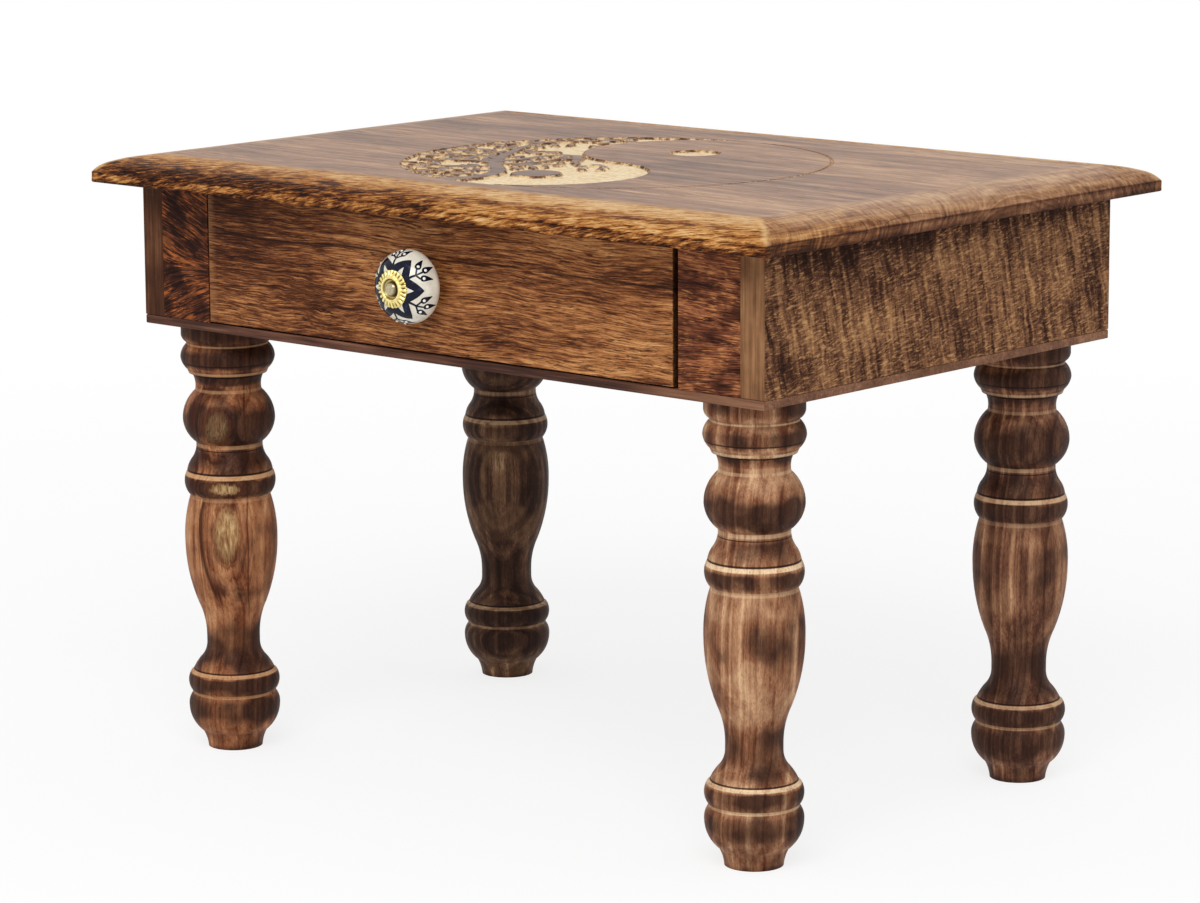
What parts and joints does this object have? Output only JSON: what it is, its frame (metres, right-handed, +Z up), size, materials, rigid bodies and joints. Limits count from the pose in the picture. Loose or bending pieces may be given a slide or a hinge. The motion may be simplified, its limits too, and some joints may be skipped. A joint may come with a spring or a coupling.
{
  "type": "prayer table",
  "caption": "Low wooden table with a moulded, carved top, a shallow box with one inset drawer, turned legs and a painted ceramic knob.",
  "frame": {"origin": "on the floor, under the middle of the table top", "axes": "+X to the right of someone who faces the drawer, the drawer opens towards -Y, +Z up"},
  "size_m": [0.508, 0.3624, 0.3556],
  "materials": {
    "top_wood": "oiled, greyish brown, carved ground left pale",
    "side_wood": "rough-sawn and oiled, brown",
    "front_wood": "oiled, reddish brown",
    "bottom_wood": "dark reddish brown, planed",
    "leg_wood": "turned, scorched dark in bands, waxed",
    "inner_wood": "raw, sawn",
    "knob_glaze": "glazed ceramic, cream with cobalt painting",
    "knob_brass": "polished brass",
    "plated_steel": "zinc plated"
  },
  "bodies": {
    "table": {"table_top": "top_wood", "back_board": "side_wood", "bottom_board": "bottom_wood", "side_board_left": "side_wood", "side_board_right": "side_wood", "front_stile_left": "front_wood", "front_stile_right": "front_wood", "top_cleat_left": "inner_wood", "top_cleat_right": "inner_wood", "drawer_guide_left": "inner_wood", "drawer_guide_right": "inner_wood", "corner_block_front_left": "inner_wood", "corner_block_front_right": "inner_wood", "corner_block_back_left": "inner_wood", "corner_block_back_right": "inner_wood", "leg_front_left": "leg_wood", "leg_front_right": "leg_wood", "leg_back_left": "leg_wood", "leg_back_right": "leg_wood", "top_screws": "plated_steel", "bottom_screws": "plated_steel", "threaded_inserts": "plated_steel", "hanger_bolts": "plated_steel", "drawer_stops": "inner_wood"},
    "drawer": {"drawer_front": "front_wood", "drawer_back": "inner_wood", "drawer_bottom": "inner_wood", "drawer_side_left": "inner_wood", "drawer_side_right": "inner_wood", "drawer_pins": "plated_steel", "knob_ferrule": "knob_brass", "knob_body": "knob_glaze", "knob_rosette": "knob_brass", "knob_screw": "knob_brass", "knob_washer": "plated_steel", "knob_nut": "plated_steel"}
  },
  "joints": [
    {"name": "drawer_slide", "type": "slide", "parent": "table", "child": "drawer", "axis": [0, -1, 0], "range_m": [0, 0.2]}
  ]
}
